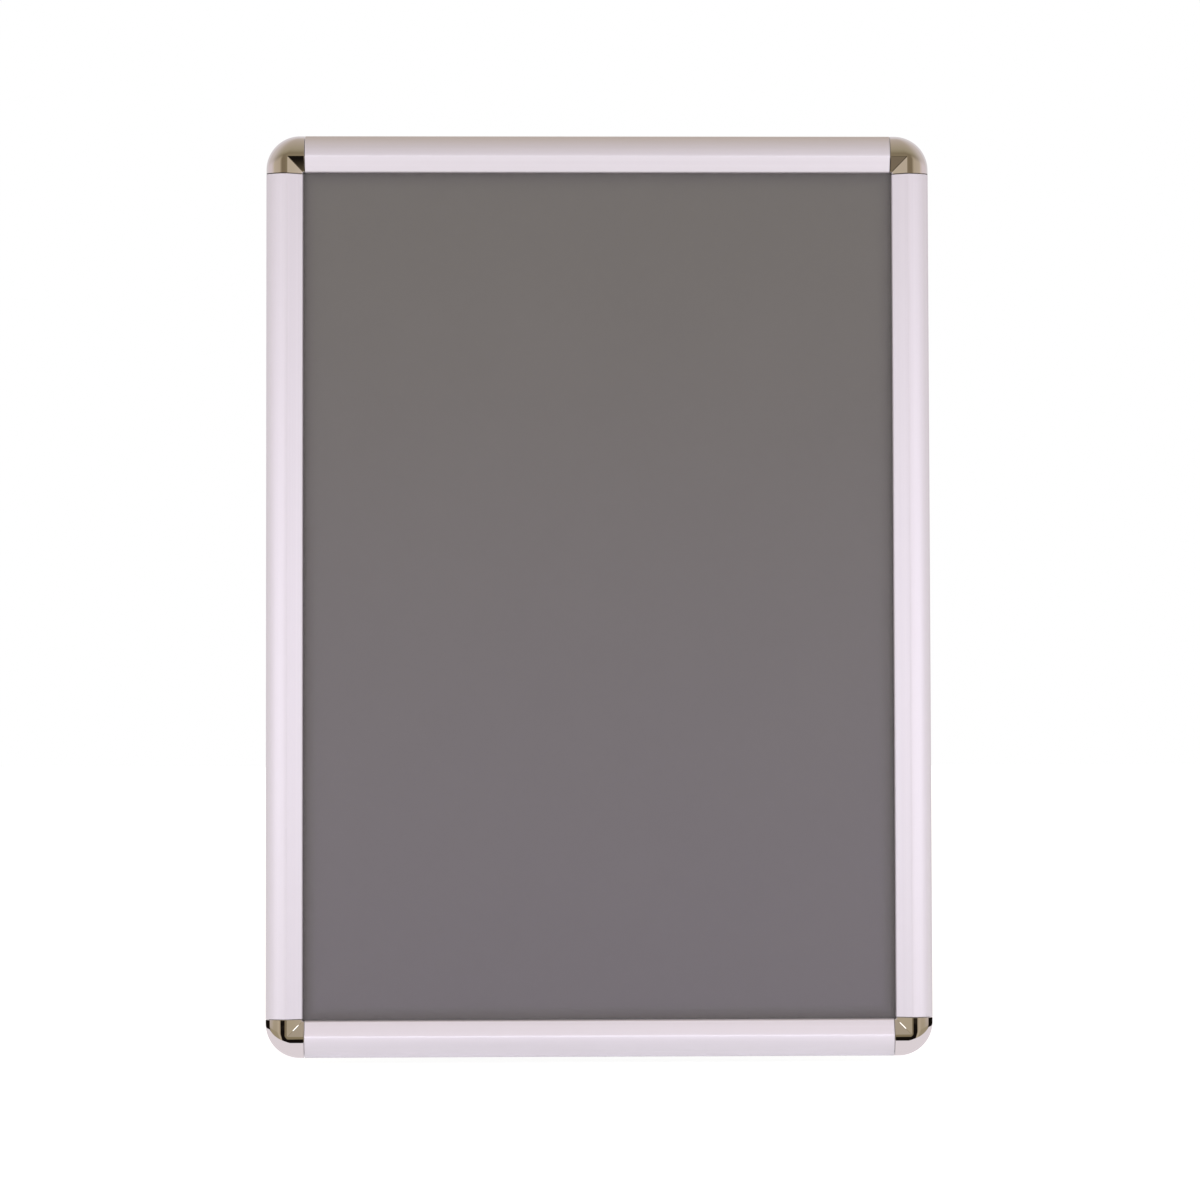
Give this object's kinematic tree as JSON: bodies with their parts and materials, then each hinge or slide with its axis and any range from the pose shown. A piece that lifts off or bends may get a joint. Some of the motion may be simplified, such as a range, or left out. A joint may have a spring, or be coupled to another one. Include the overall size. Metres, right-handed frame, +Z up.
{
  "type": "poster frame",
  "caption": "Wall-hung poster frame whose side rails snap open on hinges to change the poster, with rounded chromed corners, a grey back panel and a thin clear cover.",
  "frame": {"origin": "middle of the top base rail's back face, on the wall", "axes": "+Z up along the tall sides, +Y into the wall, the front faces -Y, +X to the right of someone who looks at the front"},
  "size_m": [0.45, 0.012, 0.624],
  "materials": {
    "satin_aluminium": "satin silver anodised, very fine extrusion lines",
    "mill_aluminium": "plain mill finish",
    "chrome": "bright chrome plate",
    "plated_steel": "dull zinc plate",
    "spring_steel": "blued spring strip",
    "screw_steel": "bright zinc plate",
    "grey_plastic": "matt, very fine grain",
    "clear_plastic": "clear, low gloss"
  },
  "bodies": {
    "root": {"back_panel": "grey_plastic", "clear_cover": "clear_plastic", "base_rail_bottom": "mill_aluminium", "base_rail_left": "mill_aluminium", "base_rail_top": "mill_aluminium", "base_rail_right": "mill_aluminium", "corner_cap_bottom_left": "chrome", "corner_cap_top_left": "chrome", "corner_cap_top_right": "chrome", "corner_cap_bottom_right": "chrome", "corner_key_bottom_left": "plated_steel", "corner_key_top_left": "plated_steel", "corner_key_top_right": "plated_steel", "corner_key_bottom_right": "plated_steel", "cap_screw_bottom_left": "screw_steel", "cap_screw_top_left": "screw_steel", "cap_screw_top_right": "screw_steel", "cap_screw_bottom_right": "screw_steel", "set_screw_bottom_left_1": "screw_steel", "set_screw_bottom_left_2": "screw_steel", "set_screw_top_left_1": "screw_steel", "set_screw_top_left_2": "screw_steel", "set_screw_top_right_1": "screw_steel", "set_screw_top_right_2": "screw_steel", "set_screw_bottom_right_1": "screw_steel", "set_screw_bottom_right_2": "screw_steel"},
    "front_bottom": {"front_rail_bottom": "satin_aluminium"},
    "front_left": {"front_rail_left": "satin_aluminium"},
    "front_top": {"front_rail_top": "satin_aluminium"},
    "front_right": {"front_rail_right": "satin_aluminium"},
    "springs_bottom": {"leaf_spring_bottom_1": "spring_steel", "leaf_spring_bottom_2": "spring_steel"},
    "springs_left": {"leaf_spring_left_1": "spring_steel", "leaf_spring_left_2": "spring_steel", "leaf_spring_left_3": "spring_steel"},
    "springs_top": {"leaf_spring_top_1": "spring_steel", "leaf_spring_top_2": "spring_steel"},
    "springs_right": {"leaf_spring_right_1": "spring_steel", "leaf_spring_right_2": "spring_steel", "leaf_spring_right_3": "spring_steel"}
  },
  "joints": [
    {"name": "open_bottom", "type": "hinge", "parent": "root", "child": "front_bottom", "pos_m": [0, -0.0043, -0.6058], "axis": [1, 0, 0], "range_deg": [0, 90]},
    {"name": "open_left", "type": "hinge", "parent": "root", "child": "front_left", "pos_m": [-0.2219, -0.0043, -0.2969], "axis": [0, 0, -1], "range_deg": [0, 90]},
    {"name": "open_top", "type": "hinge", "parent": "root", "child": "front_top", "pos_m": [0, -0.0043, 0.012], "axis": [-1, 0, 0], "range_deg": [0, 90]},
    {"name": "open_right", "type": "hinge", "parent": "root", "child": "front_right", "pos_m": [0.2219, -0.0043, -0.2969], "axis": [0, 0, 1], "range_deg": [0, 90]},
    {"name": "springs_bottom_turn", "type": "hinge", "parent": "root", "child": "springs_bottom", "pos_m": [0, -0.00659, -0.60419], "axis": [1, 0, 0], "range_deg": [0, 118]},
    {"name": "springs_left_turn", "type": "hinge", "parent": "root", "child": "springs_left", "pos_m": [-0.22029, -0.00659, -0.2969], "axis": [0, 0, -1], "range_deg": [0, 118]},
    {"name": "springs_top_turn", "type": "hinge", "parent": "root", "child": "springs_top", "pos_m": [0, -0.00659, 0.01039], "axis": [-1, 0, 0], "range_deg": [0, 118]},
    {"name": "springs_right_turn", "type": "hinge", "parent": "root", "child": "springs_right", "pos_m": [0.22029, -0.00659, -0.2969], "axis": [0, 0, 1], "range_deg": [0, 118]}
  ],
  "couplings": [
    {"joint": "springs_bottom_turn", "follows": "open_bottom", "ratio": 1.303},
    {"joint": "springs_left_turn", "follows": "open_left", "ratio": 1.303},
    {"joint": "springs_top_turn", "follows": "open_top", "ratio": 1.303},
    {"joint": "springs_right_turn", "follows": "open_right", "ratio": 1.303}
  ]
}
